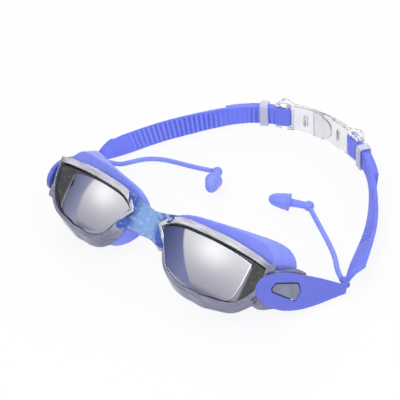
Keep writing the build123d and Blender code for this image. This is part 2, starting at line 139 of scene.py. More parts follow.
def lens_frame(side, setback, lean):
    """Frame of a lens face inside its rim, set back at the nose and leaning back."""
    lens = rim_frame(side) @ Matrix.Translation((0, 0, -setback))
    lens = lens @ Matrix.Rotation(math.radians(-lean), 4, "X")
    return lens @ Matrix.Rotation(math.radians(LENS_WRAP), 4, "Y")


# ---- shaping helpers ----------------------------------------------------------
def ease(value, low, high):
    """Rise smoothly from 0 at low to 1 at high."""
    share = np.clip((value - low) / (high - low), 0, 1)
    return share * share * (3 - 2 * share)


def curve_span(before, start, end, after, t):
    """Points of a smooth curve from start to end, which heeds its neighbours."""
    bend = (end - before) * t + (2 * before - 5 * start + 4 * end - after) * t**2
    return start + 0.5 * (bend + (3 * start - before - 3 * end + after) * t**3)


def read_points(piece):
    points = np.empty(len(piece.data.vertices) * 3)
    piece.data.vertices.foreach_get("co", points)
    return points.reshape(-1, 3)


def write_points(piece, points):
    piece.data.vertices.foreach_set("co", points.reshape(-1))
    piece.data.update()


def turned(points, matrix):
    flat = np.array(matrix)
    return points @ flat[:3, :3].T + flat[:3, 3]


def mark(piece, name, values):
    """Keep a value at each point, which the materials read."""
    layer = piece.data.attributes.new(name, "FLOAT", "POINT")
    layer.data.foreach_set("value", values)


BROW_DROP = 0.135  # share of its height that the brow comes down
BROW_BACK_DROP = 0.001
CHEEK_DROP = 0.0021
CHEEK_FLARE = 0.0012  # the back of the cheek wall spreads this far
ARM_LIFT = 0.0024


def draw_down(piece, side):
    """Lower the brow and the outer cheek of a rim or lens, and lift the arm.

    Returns how far outwards, how far up and how deep each point lay before.
    """
    home = rim_frame(side)
    x, y, z = turned(read_points(piece), home.inverted()).T
    wide = x / OPENING
    deep = np.clip(-z / RIM_DEPTH, 0, 1)
    brow = BROW_DROP * (1 - 0.5 * ease(wide, 0.75, 1.0)) * np.maximum(y, 0)
    brow = brow + BROW_BACK_DROP * deep * ease(y, 0.003, 0.009)
    outer = ease(wide, 0.45, 0.62) * (1 - 0.65 * ease(wide, 0.84, 0.97))
    cheek = CHEEK_DROP * outer * np.clip(-y / 0.018, 0, 1)
    cheek = cheek + CHEEK_FLARE * deep * ease(-y, 0.004, 0.014)
    arm = ARM_LIFT * ease(wide, 1.0, 1.1) * ease(y, -0.002, 0.004)
    drop = (brow + cheek) * (1 - ease(wide, 1.06, 1.2)) - arm
    write_points(piece, turned(np.stack((x, y - drop, z), 1), home))
    return x, y, deep


def push_corner(piece, side, reach):
    """Push the outer top corner of a gasket outwards and a little up."""
    home = rim_frame(side)
    x, y, z = turned(read_points(piece), home.inverted()).T
    push = reach * ease(x / OPENING, 0.7, 1.05) * ease(y, 0.0, 0.012)
    write_points(piece, turned(np.stack((x + push, y + 0.4 * push, z), 1), home))


def link(name, mesh):
    piece = bpy.data.objects.new(name, mesh)
    bpy.context.scene.collection.objects.link(piece)
    return piece


def node_copy(name, node):
    """A free copy of a CAD node with its doubled corners joined."""
    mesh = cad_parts[node].data.copy()
    mesh.name = name
    mesh.materials.clear()
    work = bmesh.new()
    work.from_mesh(mesh)
    bmesh.ops.remove_doubles(work, verts=work.verts, dist=1e-6)
    work.to_mesh(mesh)
    work.free()
    return link(name, mesh)


def apply_modifiers(piece):
    bpy.context.view_layer.update()
    graph = bpy.context.evaluated_depsgraph_get()
    mesh = bpy.data.meshes.new_from_object(piece.evaluated_get(graph))
    piece.modifiers.clear()
    piece.data = mesh


def rounded(name, node, grain, rounds, keep=0.4):
    """A copy of a CAD node with every edge rounded over, thinned to a share of its faces."""
    piece = node_copy(name, node)
    remesh = piece.modifiers.new("grain", "REMESH")
    remesh.mode = "VOXEL"
    remesh.voxel_size = grain
    remesh.adaptivity = 0.0
    apply_modifiers(piece)
    work = bmesh.new()
    work.from_mesh(piece.data)
    axes = {"use_axis_x": True, "use_axis_y": True, "use_axis_z": True}
    for _ in range(rounds):
        bmesh.ops.smooth_vert(work, verts=work.verts, factor=0.5, **axes)
    work.to_mesh(piece.data)
    work.free()
    if keep < 1:
        thin = piece.modifiers.new("thin", "DECIMATE")
        thin.ratio = keep
        apply_modifiers(piece)
    piece.data.shade_smooth()
    return piece


# ---- material helpers ---------------------------------------------------------
def principled(name, colour, **inputs):
    """A material with its shader; inputs are set on the shader's own sockets."""
    material = bpy.data.materials.new(name)
    material.use_nodes = True
    shader = material.node_tree.nodes["Principled BSDF"]
    shader.inputs["Base Color"].default_value = (*colour, 1)
    for key, value in inputs.items():
        shader.inputs[key.replace("_", " ")].default_value = value
    return material, material.node_tree, shader


def add_node(tree, kind, **values):
    node = tree.nodes.new(kind)
    for key, value in values.items():
        if key in node.inputs:
            node.inputs[key].default_value = value
        else:
            setattr(node, key, value)
    return node


def feed(tree, socket, value):
    """Link a socket to another one, or set it to a number or a colour."""
    if isinstance(value, bpy.types.NodeSocket):
        tree.links.new(value, socket)
    elif isinstance(value, (int, float)):
        socket.default_value = value
    else:
        socket.default_value = (*value, 1)


def combine(tree, operation, first, second=0.5, clamp=False):
    """Work on two sockets or numbers."""
    node = add_node(tree, "ShaderNodeMath", operation=operation, use_clamp=clamp)
    feed(tree, node.inputs[0], first)
    feed(tree, node.inputs[1], second)
    return node.outputs[0]


def spread(tree, value, low, high, start=0.0, end=1.0, kind="LINEAR"):
    """Stretch the range from low to high over the range from start to end."""
    node = add_node(tree, "ShaderNodeMapRange", interpolation_type=kind)
    ends = (("From Min", low), ("From Max", high), ("To Min", start), ("To Max", end))
    for key, number in ends:
        node.inputs[key].default_value = number
    tree.links.new(value, node.inputs["Value"])
    return node.outputs[0]


def two_tones(tree, factor, low, high):
    """Mix two colours, each a socket or three numbers."""
    mix = add_node(tree, "ShaderNodeMix", data_type="RGBA")
    for index, value in ((0, factor), (6, low), (7, high)):
        feed(tree, mix.inputs[index], value)
    return mix.outputs[2]


def colour_ramp(tree, factor, *stops):
    """A colour ramp through stops of a position and a colour."""
    node = add_node(tree, "ShaderNodeValToRGB")
    elements = node.color_ramp.elements
    for element, (position, colour) in zip((elements[0], elements[1]), (stops[0], stops[-1])):
        element.position = position
        element.color = (*colour, 1)
    for position, colour in stops[1:-1]:
        elements.new(position).color = (*colour, 1)
    tree.links.new(factor, node.inputs["Fac"])
    return node.outputs["Color"]


def object_place(tree):
    return add_node(tree, "ShaderNodeTexCoord").outputs["Object"]


def stretched(tree, place, scale, rotation=(0.0, 0.0, 0.0)):
    """The place, turned and stretched, to draw a pattern out."""
    drawn = add_node(tree, "ShaderNodeMapping")
    drawn.inputs["Scale"].default_value = scale
    drawn.inputs["Rotation"].default_value = rotation
    tree.links.new(place, drawn.inputs["Vector"])
    return drawn.outputs["Vector"]


def cloud(tree, place, scale, detail, roughness=0.5):
    noise = add_node(tree, "ShaderNodeTexNoise", Scale=scale, Detail=detail, Roughness=roughness)
    tree.links.new(place, noise.inputs["Vector"])
    return noise.outputs["Fac"]


def bump(tree, height, strength, distance, target):
    """Raise a surface by a height; target is the socket of a normal."""
    node = add_node(tree, "ShaderNodeBump", Strength=strength, Distance=distance)
    tree.links.new(height, node.inputs["Height"])
    tree.links.new(node.outputs["Normal"], target)
    return node


def marked(tree, name):
    """A value that a piece keeps at its points."""
    return add_node(tree, "ShaderNodeAttribute", attribute_name=name).outputs["Fac"]


def tone(tree, shader, colour, contrast, scale):
    """Slight cloudy variation of the base colour."""
    place = object_place(tree)
    dark = [channel * (1 - contrast) for channel in colour]
    light = [min(1, channel * (1 + contrast)) for channel in colour]
    cloudy = colour_ramp(tree, cloud(tree, place, scale, 3.0), (0.35, dark), (0.65, light))
    tree.links.new(cloudy, shader.inputs["Base Color"])
    return place, cloudy


def silicone(name, colour, roughness=0.38):
    """Soft matt silicone; returns its tone and its bump for more to be built on them."""
    material, tree, shader = principled(
        name,
        colour,
        Roughness=roughness,
        Subsurface_Weight=0.25,
        Subsurface_Scale=0.004,
        Subsurface_Radius=(0.3, 0.4, 1.0),
        IOR=1.41,
        Sheen_Weight=0.15,
        Sheen_Roughness=0.5,
        Sheen_Tint=(0.75, 0.8, 1, 1),
    )
    place, base = tone(tree, shader, colour, 0.05, 90.0)
    grain = cloud(tree, place, 1800.0, 4.0)
    return material, base, bump(tree, grain, 0.12, 0.0002, shader.inputs["Normal"])


def clear_plastic(name, colour, clearness, roughness):
    material, tree, shader = principled(
        name,
        colour,
        Roughness=roughness,
        Transmission_Weight=clearness,
        IOR=1.46,
        Coat_Weight=0.25,
        Coat_Roughness=0.08,
    )
    tone(tree, shader, colour, 0.04, 60.0)
    return material


def assign(piece, *materials):
    piece.data.materials.clear()
    for material in materials:
        piece.data.materials.append(material)


# ---- stage --------------------------------------------------------------------
ROOM_LIGHT = 0.62  # strength of the white room where no camera sees it
TABLE_REACH = 3.0
TABLE_HEIGHT = -0.005  # leaves room for the headband when it rocks down
TABLE_WHITE = 0.86  # share of plain white in what the camera sees of the table
LAMP_AIM = Vector((0, 0, 0.01))
LAMPS = (  # name, place, size, power
    ("key", (0.25, -0.55, 0.75), 0.5, 3.2),
    ("fill", (0.7, 0.2, 0.5), 0.6, 1.4),
    ("back", (-0.6, 0.5, 0.6), 0.6, 1.6),
)
CAMERA_TURN = (44.7, 37.6, -4.4)  # degrees around, up and of roll
CAMERA_AIM = Vector((0.0703, -0.1003, 0.0989))
CAMERA_DISTANCE = 0.66
CAMERA_LENS = 123.5


class GOGGLES_OT_stage(bpy.types.Operator):
    """White table, soft light and the camera."""

    bl_idname = "goggles.stage"
    bl_label = "Stage"

    def execute(self, context):
        scene = context.scene
        scene.view_settings.view_transform = "Standard"
        self.room(scene)
        self.table()
        for name, place, size, power in LAMPS:
            self.lamp(name, Vector(place), size, power)
        self.camera(scene)
        return {"FINISHED"}

    def room(self, scene):
        """A white room that lights softly and looks pure white behind the goggles."""
        world = bpy.data.worlds.new("white_room")
        scene.world = world
        world.use_nodes = True
        tree = world.node_tree
        ground = tree.nodes["Background"]
        ground.inputs["Color"].default_value = (1, 1, 1, 1)
        path = add_node(tree, "ShaderNodeLightPath").outputs
        seen = combine(tree, "MAXIMUM", path["Is Camera Ray"], path["Is Glossy Ray"])
        seen = combine(tree, "MAXIMUM", seen, path["Is Transmission Ray"])
        strength = spread(tree, seen, 0.0, 1.0, ROOM_LIGHT, 1.0)
        tree.links.new(strength, ground.inputs["Strength"])

    def table(self):
        mesh = bpy.data.meshes.new("table")
        reach, low = TABLE_REACH, TABLE_HEIGHT
        corners = [(-reach, -reach), (reach, -reach), (reach, reach), (-reach, reach)]
        mesh.from_pydata([(*corner, low) for corner in corners], [], [(0, 1, 2, 3)])
        table = link("table", mesh)
        white = (0.95, 0.95, 0.95)
        material, tree, shader = principled("white_table", white, Roughness=0.9)
        glow = add_node(tree, "ShaderNodeEmission", Color=(1, 1, 1, 1), Strength=1.0)
        path = add_node(tree, "ShaderNodeLightPath").outputs
        seen = combine(tree, "MAXIMUM", path["Is Camera Ray"], path["Is Transmission Ray"])
        mix = add_node(tree, "ShaderNodeMixShader")
        tree.links.new(combine(tree, "MULTIPLY", seen, TABLE_WHITE), mix.inputs["Fac"])
        tree.links.new(shader.outputs["BSDF"], mix.inputs[1])
        tree.links.new(glow.outputs["Emission"], mix.inputs[2])
        tree.links.new(mix.outputs["Shader"], tree.nodes["Material Output"].inputs["Surface"])
        assign(table, material)

    def lamp(self, name, place, size, power):
        light = bpy.data.lights.new(name, "AREA")
        light.size = size
        light.energy = power
        lamp = bpy.data.objects.new(name, light)
        bpy.context.scene.collection.objects.link(lamp)
        lamp.location = place
        lamp.rotation_euler = (LAMP_AIM - place).to_track_quat("-Z", "Y").to_euler()

    def camera(self, scene):
        around, up, roll = (math.radians(angle) for angle in CAMERA_TURN)
        level = Vector((math.sin(around), -math.cos(around), 0))
        back = level * math.cos(up) + Vector((0, 0, math.sin(up)))
        right = Vector((math.cos(around), math.sin(around), 0))
        above = back.cross(right)
        side = right * math.cos(roll) + above * math.sin(roll)
        top = above * math.cos(roll) - right * math.sin(roll)
        eye = bpy.data.cameras.new("eye")
        eye.lens = CAMERA_LENS
        eye.sensor_width = 36
        eye.clip_start = 0.01
        eye.clip_end = 20
        camera = bpy.data.objects.new("camera", eye)
        scene.collection.objects.link(camera)
        turn = Matrix((side, top, back)).transposed().to_4x4()
        place = CAMERA_AIM + back * CAMERA_DISTANCE
        camera.matrix_world = Matrix.Translation(place) @ turn
        scene.camera = camera


# ---- tethers and ear plugs ----------------------------------------------------
LYING = 0.0016  # height of a tether's middle line where it lies on the table
TETHERS = {
    "left": (
        (0.09111, -0.01566, 0.00195),
        (0.0851, -0.0118, LYING),
        (0.0777, -0.0037, LYING),
        (0.0670, 0.0043, LYING),
        (0.0523, 0.01395, LYING),
        (0.04054, 0.02103, 0.00297),
    ),
    "right": (
        (-0.09243, -0.01768, 0.00205),
        (-0.0832, -0.01565, LYING),
        (-0.0786, -0.0078, LYING),
        (-0.0735, 0.0005, LYING),
        (-0.0648, 0.0062, LYING),
        (-0.0540, 0.0093, LYING),
        (-0.0425, 0.0122, LYING),
        (-0.03057, 0.01469, 0.00295),
    ),
}
PLUGS = {  # place of the bell's base, and the way that its tip points
    "left": ((0.0275, 0.01615), (-0.84, -0.54)),
    "right": ((-0.0210, 0.00485), (0.52, -0.85)),
}
STEM_LENGTH = 0.0124
KNOB_RADIUS = 0.0032


def lathe(name, profile, segments=40):
    """A closed turned piece: profile is a list of (along, radius), turned about X."""
    work = bmesh.new()
    rings = []
    for along, radius in profile:
        if radius == 0:
            rings.append([work.verts.new((along, 0, 0))])
            continue
        ring = []
        for step in range(segments):
            angle = 2 * math.pi * step / segments
            spot = (along, radius * math.cos(angle), radius * math.sin(angle))
            ring.append(work.verts.new(spot))
        rings.append(ring)
    for ring, following in zip(rings, rings[1:]):
        for step in range(segments):
            ahead = (step + 1) % segments
            if len(ring) == 1:
                work.faces.new((ring[0], following[step], following[ahead]))
            elif len(following) == 1:
                work.faces.new((ring[step], following[0], ring[ahead]))
            else:
                work.faces.new((ring[step], following[step], following[ahead], ring[ahead]))
    bmesh.ops.recalc_face_normals(work, faces=work.faces)
    mesh = bpy.data.meshes.new(name)
    work.to_mesh(mesh)
    work.free()
    mesh.shade_smooth()
    return link(name, mesh)


class GOGGLES_OT_tethers(bpy.types.Operator):
    """Ear plugs and the soft tethers that hold them."""

    bl_idname = "goggles.tethers"
    bl_label = "Tethers and ear plugs"

    def execute(self, context):
        skin = silicone("plug_silicone", colours().plug)[0]
        for side in SIDES:
            plug = self.plug(side)
            assign(plug, skin)
            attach(plug, f"{side}_plug")
            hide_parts(f"{side}_ear_plug")
            curve = bpy.data.curves.new(f"{side}_tether_cord", "CURVE")
            curve.dimensions = "3D"
            curve.bevel_depth = sizes().tether_diameter / 2
            curve.bevel_resolution = 6
            curve.use_fill_caps = True
            curve.resolution_u = 12
            spline = curve.splines.new("NURBS")
            points = TETHERS[side]
            spline.points.add(len(points) - 1)
            for knot, point in zip(spline.points, points):
                knot.co = (*point, 1)
            spline.order_u = 3
            spline.use_endpoint_u = True
            cord = link(f"{side}_tether_cord", curve)
            assign(cord, skin)
            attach(cord, f"{side}_plug")
            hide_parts(f"{side}_tether")
        return {"FINISHED"}

    def plug(self, side):
        """Bell with two sealing rings on a stem that ends in a knob."""
        bell = sizes().plug_radius
        reach = sizes().plug_length
        stem = sizes().stem_radius
        knob = KNOB_RADIUS
        profile = [(-STEM_LENGTH - knob, 0)]
        for step in range(1, 8):
            angle = math.radians(20 * step)
            profile.append((-STEM_LENGTH - knob * math.cos(angle), knob * math.sin(angle)))
        profile += [
            (-STEM_LENGTH + 0.95 * knob, 0.86 * stem),
            (-0.6 * STEM_LENGTH, 0.84 * stem),
            (-0.3 * STEM_LENGTH, 0.90 * stem),
            (-0.0016, 0.98 * stem),
            (-0.0013, 0.92 * bell),
            (-0.0010, 0.98 * bell),
            (-0.0004, bell),
            (0.0002, 0.985 * bell),
            (0.0006, 0.91 * bell),
            (0.0010, 0.89 * bell),
            (0.0014, 0.92 * bell),
            (0.0022, 0.925 * bell),
            (0.38 * reach, 0.84 * bell),
            (0.60 * reach, 0.75 * bell),
            (0.78 * reach, 0.63 * bell),
            (0.90 * reach, 0.48 * bell),
            (0.97 * reach, 0.28 * bell),
            (0.995 * reach, 0.12 * bell),
            (reach, 0),
        ]
        piece = lathe(f"{side}_bell_plug", profile)
        place, heading = PLUGS[side]
        level = Vector((*heading, 0)).normalized()
        base = Vector((*place, bell + 0.0002))
        end = Vector((*place, knob + 0.0001)) - level * STEM_LENGTH
        turn = (base - end).normalized().to_track_quat("X", "Z").to_matrix().to_4x4()
        piece.data.transform(Matrix.Translation(base) @ turn)
        return piece


# ---- gaskets and straps -------------------------------------------------------
BAND = (  # lower edge of the left band, from its neck to the clip
    (0.0966, -0.01945),
    (0.0891, -0.00595),
    (0.0792, 0.01935),
    (0.0660, 0.04465),
    (0.0426, 0.07095),
    (0.0255, 0.07845),
)
BAND_THICKNESS = 0.0022
BAND_WIDTH = 0.0124
NECK_WIDTH = 0.0046
BAND_LIFT = {"left": 0.0033, "right": 0.0024}  # the band's edge rises to this
MADE_LEAN = math.radians(28)  # lean of the band at the neck in the CAD frame
SHOWN_LEAN = math.radians(52)  # lean that it is laid over to
RIB_PITCH = 0.0029
RIBS = (0.3, 0.86)  # shares of the band between the first and the last moulded rib
GASKET_CORNER = 0.0016


def band_route():
    """Points along the lower edge of the band, with their headings and shares of its length."""
    knots = np.array(BAND)
    knots = np.vstack((2 * knots[0] - knots[1], knots, 2 * knots[-1] - knots[-2]))
    t = np.linspace(0, 1, 60, endpoint=False)[:, None]
    fours = zip(knots, knots[1:], knots[2:], knots[3:])
    line = np.vstack((*(curve_span(*four, t) for four in fours), knots[-2:-1]))
    steps = np.diff(line, axis=0)
    lengths = np.hypot(*steps.T)
    shares = np.concatenate(([0], np.cumsum(lengths)))
    headings = np.vstack((steps, steps[-1:]))
    headings = headings / np.hypot(*headings.T)[:, None]
    return line, headings, shares / shares[-1], shares[-1]


def nearest(points, line):
    """Index of the nearest point of a line for each point, seen from above."""
    near = np.empty(len(points), dtype=int)
    for start in range(0, len(points), 4000):
        block = points[start : start + 4000, None, :2] - line[None]
        near[start : start + 4000] = np.argmin((block**2).sum(2), axis=1)
    return near


def band_axes(foot, level, lean, lift):
    """Middle of the band's foot, and its ways up and out, where it leans and is lifted."""
    rise = np.array((0.0, 0.0, 1.0))
    lean = lean[:, None]
    up = rise * np.cos(lean) + level * np.sin(lean)
    out = level * np.cos(lean) - rise * np.sin(lean)
    return foot + rise * (lift[:, None] + BAND_THICKNESS / 2 * np.sin(lean)), up, out


def lay_band(piece, side):
    """Lay the band over after its neck, and let it rise only towards the clip."""
    line, headings, shares, length = band_route()
    points = read_points(piece)
    if side == "right":
        points[:, 0] *= -1
    near = nearest(points, line)
    share, ahead = shares[near], headings[near]
    level = np.zeros((len(points), 3))
    level[:, 0], level[:, 1] = ahead[:, 1], -ahead[:, 0]
    foot = np.zeros_like(level)
    foot[:, :2] = line[near]
    lift = BAND_LIFT[side]
    made_lean = MADE_LEAN * (1 - ease(share, 0.45, 0.85))
    made, made_up, made_out = band_axes(foot, level, made_lean, lift * ease(share, 0.1, 0.95))
    lean = SHOWN_LEAN * ease(share, -0.05, 0.1) * (1 - ease(share, 0.05, 0.86))
    laid, laid_up, laid_out = band_axes(foot, level, lean, lift * ease(share, 0.42, 0.88))
    grown = BAND_WIDTH - NECK_WIDTH
    made_width = NECK_WIDTH + grown * ease(share, -0.02, 0.13)
    wider = (NECK_WIDTH + grown * ease(share, -0.04, 0.11)) / made_width
    offset = points - made
    up = (offset * made_up).sum(1)
    out = (offset * made_out).sum(1)
    along = offset - up[:, None] * made_up - out[:, None] * made_out
    moved = laid + laid_up * (up * wider)[:, None] + laid_out * out[:, None] + along
    band = 1 - ease(-out, 0.0018, 0.0028)
    part = ease(share, 0.0, 0.03) * band * (1 - ease(share, 0.87, 0.9))
    points += (moved - points) * part[:, None]
    points[:, 2] = np.maximum(points[:, 2], 0.0)
    if side == "right":
        points[:, 0] *= -1
    write_points(piece, points)
    mark_ribs(piece, share, up / BAND_WIDTH, out, length)


def mark_ribs(piece, share, height, out, length):
    """Number the ribs along the inner face of the band, and mark where they show."""
    first, last = RIBS
    count = int((last - first) * length / RIB_PITCH) - 1
    mark(piece, "rib_run", (share - first) / (last - first) * count)
    stretch = ease(share, 0.17, 0.22) * (1 - ease(share, 0.95, 0.97))
    inner = ease(-out, 0.0006, 0.0010) * (1 - ease(-out, 0.0022, 0.0028))
    between = ease(height, 0.04, 0.09) * (1 - ease(height, 0.91, 0.96))
    mark(piece, "ribbed", stretch * inner * between)
    mark(piece, "leaf", 1 - ease(share, 0.0, 0.06))


class GOGGLES_OT_gaskets(bpy.types.Operator):
    """Soft gaskets that seal against the face."""

    bl_idname = "goggles.gaskets"
    bl_label = "Gaskets"

    def execute(self, context):
        skin = silicone("gasket_silicone", colours().gasket, 0.33)[0]
        for side in SIDES:
            grain = sizes().gasket_grain
            piece = rounded(f"{side}_soft_gasket", f"{side}_gasket", grain, 5)
            push_corner(piece, side, GASKET_CORNER)
            assign(piece, skin)
            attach(piece, "front")
            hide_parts(f"{side}_gasket")
        return {"FINISHED"}


class GOGGLES_OT_straps(bpy.types.Operator):
    """Leaf-ended, ribbed straps of the headband."""

    bl_idname = "goggles.straps"
    bl_label = "Straps"

    def execute(self, context):
        skin = self.skin()
        for side in SIDES:
            piece = rounded(f"{side}_soft_strap", f"{side}_strap", sizes().strap_grain, 2)
            lay_band(piece, side)
            assign(piece, skin)
            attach(piece, "headband")
            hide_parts(f"{side}_strap")
        return {"FINISHED"}

    def skin(self):
        """Silicone with moulded ribs on the inner face, in painted highlight and shade, and a
        leaf in painted shade.
        """
        colour = colours().strap
        material, base, grain = silicone("strap_silicone", colour)
        tree = material.node_tree
        swing = combine(tree, "PINGPONG", marked(tree, "rib_run"), 0.5)
        crest = spread(tree, swing, 0.16, 0.26, 1.0, 0.0, kind="SMOOTHSTEP")
        # Painted shade between the ribs and a painted highlight on their crests.
        deep = (0.68 * colour[0], 0.68 * colour[1], 0.80 * colour[2])
        pale = tuple(min(1.0, 1.35 * channel) for channel in colour)
        # Painted shade that darkens the leaf.
        painted_shade_leaf = tuple(0.72 * channel for channel in colour)
        ribs = two_tones(tree, crest, deep, pale)
        ribbed = two_tones(tree, marked(tree, "ribbed"), base, ribs)
        leaf = combine(tree, "MULTIPLY", marked(tree, "leaf"), 0.8)
        shader = tree.nodes["Principled BSDF"]
        tree.links.new(two_tones(tree, leaf, ribbed, painted_shade_leaf), shader.inputs["Base Color"])
        height = combine(tree, "MULTIPLY", crest, marked(tree, "ribbed"))
        bump(tree, height, 0.7, 0.0004, grain.inputs["Normal"])
        return material


# ---- nose bridge --------------------------------------------------------------
BRIDGE_HALF = 0.018  # half the width of the bridge, which its colour runs along


class GOGGLES_OT_bridge(bpy.types.Operator):
    """Clear blue nose bridge with forked ends."""

    bl_idname = "goggles.bridge"
    bl_label = "Nose bridge"

    def execute(self, context):
        piece = rounded("soft_bridge", "nose_bridge", sizes().bridge_grain, 3)
        assign(piece, self.jelly())
        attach(piece, "front")
        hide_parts("nose_bridge")
        return {"FINISHED"}

    def jelly(self):
        """Clear silicone, darker towards its ends, with painted highlight glints and soft
        facets.
        """
        material, tree, shader = principled(
            "bridge_silicone",
            colours().bridge,
            Roughness=0.16,
            Transmission_Weight=0.35,
            IOR=1.41,
            Coat_Weight=0.3,
            Coat_Roughness=0.1,
        )
        place = object_place(tree)
        parts = add_node(tree, "ShaderNodeSeparateXYZ")
        tree.links.new(place, parts.inputs["Vector"])
        away = combine(tree, "ABSOLUTE", parts.outputs["X"])
        away = combine(tree, "MULTIPLY", away, 1 / BRIDGE_HALF)
        body = colour_ramp(tree, away, (0.30, colours().bridge), (0.58, colours().bridge_end))
        # Painted highlight glints, stronger towards the ends.
        drawn = stretched(tree, place, (0.9, 1.0, 2.6), (0.0, 0.5, 0.0))
        painted_glint = spread(tree, cloud(tree, drawn, 190.0, 2.0), 0.53, 0.66)
        painted_glint = combine(tree, "MULTIPLY", painted_glint, away, clamp=True)
        lit = two_tones(tree, painted_glint, body, colours().bridge_painted_glint)
        tree.links.new(lit, shader.inputs["Base Color"])
        facets = add_node(tree, "ShaderNodeTexVoronoi", Scale=230.0, feature="F1")
        tree.links.new(place, facets.inputs["Vector"])
        bump(tree, facets.outputs["Distance"], 1.0, 0.0022, shader.inputs["Normal"])
        return material


# ---- rims, clip, keepers and pegs ---------------------------------------------
# Dark partners of the painted highlight streaks on the cheek and the brow, and painted shade at
# the rims' grazing edges.
RIM_SHADE_DARK = (0.20, 0.20, 0.29)
RIM_SILVER_DARK = (0.50, 0.50, 0.59)
RIM_EDGE_SHADE = (0.12, 0.12, 0.19)


class GOGGLES_OT_rims(bpy.types.Operator):
    """Clear silver rims, each with its temple arm."""

    bl_idname = "goggles.rims"
    bl_label = "Rims"

    def execute(self, context):
        plastic = self.plastic()
        for side in SIDES:
            piece = rounded(f"{side}_clear_rim", f"{side}_rim", sizes().plastic_grain, 2)
            x, y, deep = draw_down(piece, side)
            wide = x / OPENING
            # Silver tint plus a painted highlight on the brow and the nose; the highlight fades
            # towards the back of the rim.
            brow = ease(y, -0.0008, 0.0022) * (1 - ease(wide, 0.92, 1.04))
            nose = 0.9 * (1 - ease(wide, 0.07, 0.15))
            mark(piece, "silver", np.maximum(brow, nose) * (1 - 0.3 * deep))
            assign(piece, plastic)
            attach(piece, "front")
            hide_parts(f"{side}_rim")
        return {"FINISHED"}

    def plastic(self):
        """Silver plastic: a painted highlight along the brow and the nose, smoky along the
        cheek.
        """
        material, tree, shader = principled(
            "clear_frame",
            colours().rim,
            Roughness=0.17,
            Metallic=0.45,
            Transmission_Weight=0.2,
            IOR=1.46,
            Coat_Weight=0.6,
            Coat_Roughness=0.06,
        )
        # Painted highlight streaks along the rim.
        drawn = stretched(tree, object_place(tree), (0.5, 2.4, 3.2))
        highlight_streak = spread(tree, cloud(tree, drawn, 150.0, 3.0), 0.35, 0.7)
        smoky = two_tones(tree, highlight_streak, RIM_SHADE_DARK, colours().rim_shade)
        silver_and_highlight = two_tones(tree, highlight_streak, RIM_SILVER_DARK, colours().rim)
        body = two_tones(tree, marked(tree, "silver"), smoky, silver_and_highlight)
        # Painted shade darkens the edges seen at a grazing angle.
        edge = add_node(tree, "ShaderNodeLayerWeight", Blend=0.22).outputs["Facing"]
        tree.links.new(two_tones(tree, edge, body, RIM_EDGE_SHADE), shader.inputs["Base Color"])
        return material


class GOGGLES_OT_back_clip(bpy.types.Operator):
    """The two lapped halves of the back clip and the strap keepers."""

    bl_idname = "goggles.back_clip"
    bl_label = "Back clip and keepers"

    def execute(self, context):
        plastic = clear_plastic("clip_plastic", colours().clip, 0.85, 0.08)
        tinted = clear_plastic("keeper_plastic", colours().keeper, 0.4, 0.16)
        for side in SIDES:
            piece = rounded(f"{side}_clear_clip", f"{side}_clip", sizes().plastic_grain, 2)
            assign(piece, plastic)
            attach(piece, "headband")
            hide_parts(f"{side}_clip")
            loop = rounded(f"{side}_clear_keeper", f"{side}_keeper", sizes().small_grain, 2)
            assign(loop, tinted)
            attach(loop, f"{side}_keeper")
            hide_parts(f"{side}_keeper")
        return {"FINISHED"}


class GOGGLES_OT_pegs(bpy.types.Operator):
    """Pegs that button the leaves of the straps."""

    bl_idname = "goggles.pegs"
    bl_label = "Pegs"

    def execute(self, context):
        material, tree, shader = principled(
            "peg_plastic",
            colours().peg,
            Roughness=0.3,
            Metallic=0.25,
            Coat_Weight=0.4,
            Coat_Roughness=0.15,
        )
        place, _ = tone(tree, shader, colours().peg, 0.16, 160.0)
        bump(tree, cloud(tree, place, 400.0, 4.0), 0.2, 0.0002, shader.inputs["Normal"])
        for side in SIDES:
            piece = rounded(f"{side}_domed_peg", f"{side}_peg", sizes().small_grain, 3)
            assign(piece, material)
            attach(piece, "front")
            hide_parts(f"{side}_peg")
        return {"FINISHED"}


# ---- lenses -------------------------------------------------------------------
WINDOW_RAISE = 0.00093
WINDOW_BOW = 0.0008  # the window is this much higher in its middle than at its ends
WINDOW_HALF = 0.03125
WINDOW_MIDDLE = FOLD / 2 - 0.002
# The coat's pattern is painted reflection, painted highlight and painted shade.
WINDOW_FOOT = 0.024  # the coat's pattern starts this far below the middle line
WINDOW_HEIGHT = 0.032
WINDOW_BROW = (  # shares of the way to the fold, and metres up
    (0.040, 0.0006),
    (0.09, 0.0024),
    (0.21, 0.0046),
    (0.37, 0.0055),
    (0.60, 0.0057),
    (0.85, 0.0045),
    (0.985, 0.0030),
)
WINDOW_CHEEK = (
    (0.975, -0.0100),
    (0.93, -0.0196),
    (0.74, -0.0220),
    (0.50, -0.0226),
    (0.24, -0.0180),
    (0.125, -0.0092),
    (0.060, -0.0024),
)
BORDER_RINGS = (  # how far inside the window's outline, and how high
    (0.0, 0.00060),
    (0.00015, WINDOW_RAISE),
    (0.00075, 0.00095),
    (0.0012, WINDOW_RAISE),
    (0.0014, WINDOW_RAISE),
)
FACE_RINGS = (0.04, 0.1, 0.2, 0.32, 0.46, 0.62, 0.8, 0.93)  # shares of the way inwards

